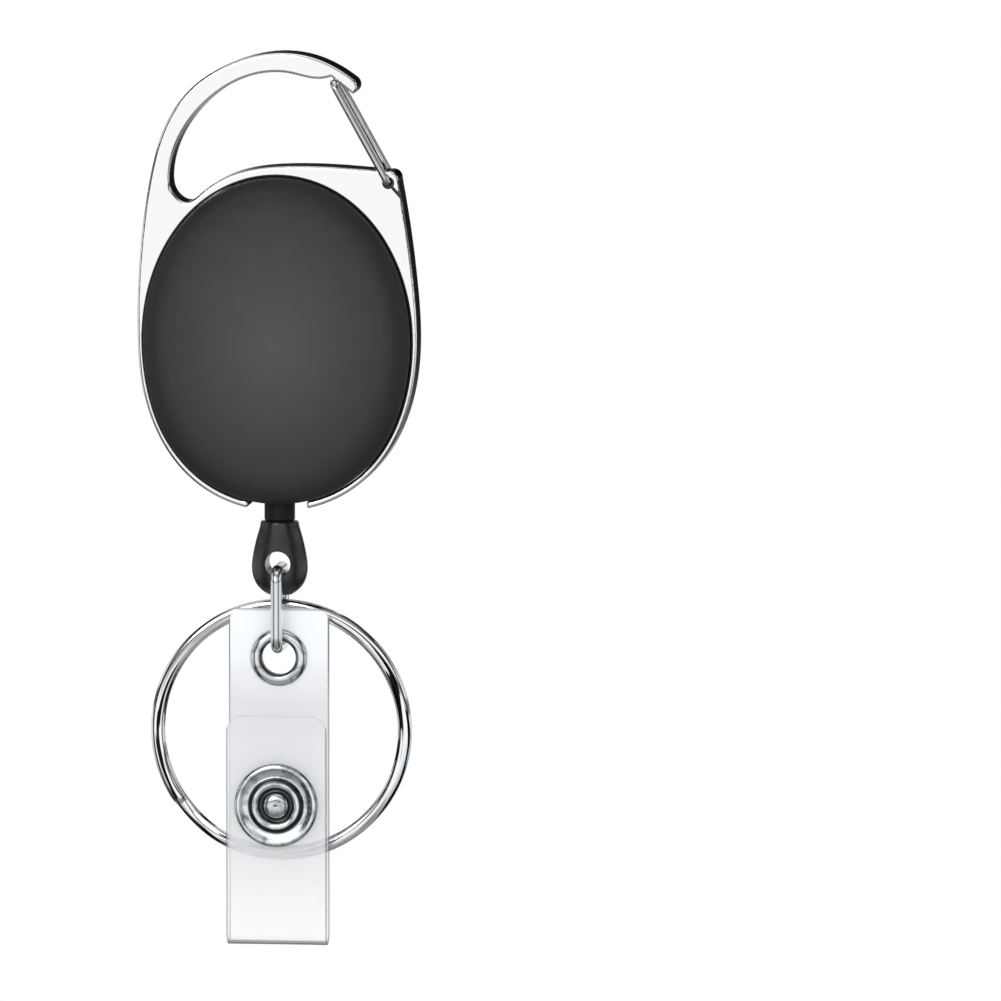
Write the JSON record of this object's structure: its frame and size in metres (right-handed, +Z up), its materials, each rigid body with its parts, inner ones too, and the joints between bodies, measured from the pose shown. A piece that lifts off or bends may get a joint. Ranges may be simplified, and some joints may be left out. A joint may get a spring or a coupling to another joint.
{
  "type": "retractable badge reel",
  "caption": "Hanging badge reel: carabiner frame round a domed body with a belt clip and a sprung cord spool; the cord carries a snap badge strap and a split key ring.",
  "frame": {"origin": "inside top of the carabiner loop, where the reel hangs, in the middle of the frame's thickness", "axes": "+Z up with the reel hanging, +X to the right seen from the front, +Y out of the belt clip's side"},
  "size_m": [0.0321, 0.0135, 0.1023],
  "materials": {
    "chrome_plate": "bright chrome plate on a zinc casting",
    "black_abs": "fine matte moulded ABS",
    "turned_steel": "turned",
    "spring_steel": "blued strip",
    "guide_plastic": "smooth moulded acetal",
    "clip_steel": "nickel plated, satin",
    "gate_wire": "bright drawn wire",
    "spool_plastic": "natural acetal",
    "nylon_cord": "braided nylon",
    "fitting_plastic": "satin moulded",
    "link_wire": "nickel plated wire",
    "clear_vinyl": "clear soft vinyl",
    "nickel": "pressed sheet, bright nickel",
    "ring_steel": "polished spring steel"
  },
  "bodies": {
    "reel": {"carabiner_frame": "chrome_plate", "front_shell": "black_abs", "rear_shell": "black_abs", "spring_arbor": "turned_steel", "power_spring": "spring_steel", "cord_guide": "guide_plastic", "clip_anchor": "clip_steel"},
    "gate": {"wire_gate": "gate_wire"},
    "spool": {"spool_drum": "spool_plastic", "spring_cover": "spool_plastic", "cord_winding": "nylon_cord"},
    "clip": {"belt_clip": "clip_steel"},
    "cord_end": {"cord_lead": "nylon_cord", "cord_knot": "nylon_cord"},
    "fitting": {"cord_end_fitting": "fitting_plastic"},
    "link": {"connecting_link": "link_wire"},
    "strap": {"strap_back": "clear_vinyl", "strap_eyelet": "nickel", "eyelet_washer": "nickel", "snap_stud": "nickel", "snap_post": "nickel"},
    "flap": {"strap_flap": "clear_vinyl", "snap_socket": "nickel", "snap_cap": "nickel"},
    "ring": {"key_ring": "ring_steel"}
  },
  "joints": [
    {"name": "cord_pull", "type": "slide", "parent": "reel", "child": "cord_end", "axis": [0, 0, -1], "range_m": [0, 0.6], "stiffness_N_per_m": 1.5, "springref_m": -0.8, "deforming": ["cord_lead"]},
    {"name": "spool_spin", "type": "hinge", "parent": "reel", "child": "spool", "pos_m": [0, 0, -0.0306], "axis": [0, 1, 0], "continuous": true, "deforming": ["power_spring"]},
    {"name": "gate_open", "type": "hinge", "parent": "reel", "child": "gate", "pos_m": [0.0128, 0, -0.0124], "axis": [0, -1, 0], "range_deg": [0, 40], "stiffness_Nm_per_rad": 0.02, "springref_deg": -17.19},
    {"name": "clip_flex", "type": "hinge", "parent": "reel", "child": "clip", "pos_m": [0, 0.00575, -0.0187], "axis": [1, 0, 0], "range_deg": [0, 7], "stiffness_Nm_per_rad": 0.5, "springref_deg": -0.57},
    {"name": "fitting_swivel", "type": "hinge", "parent": "cord_end", "child": "fitting", "pos_m": [0, 0, -0.054], "axis": [0, 0, 1], "continuous": true},
    {"name": "link_swing", "type": "hinge", "parent": "fitting", "child": "link", "pos_m": [0, 0, -0.057], "axis": [0, 1, 0], "range_deg": [-60, 60]},
    {"name": "strap_swing", "type": "hinge", "parent": "link", "child": "strap", "pos_m": [0, 0, -0.06583], "axis": [0, 1, 0], "range_deg": [-20, 20]},
    {"name": "strap_open", "type": "hinge", "parent": "strap", "child": "flap", "pos_m": [0, -0.00195, -0.1], "axis": [1, 0, 0], "range_deg": [0, 150]},
    {"name": "ring_swing", "type": "hinge", "parent": "link", "child": "ring", "pos_m": [0, 0.0012, -0.06135], "axis": [1, 0, 0], "range_deg": [0, 100]}
  ],
  "couplings": [
    {"joint": "spool_spin", "follows": "cord_pull", "rad_per_m": 93.897}
  ]
}
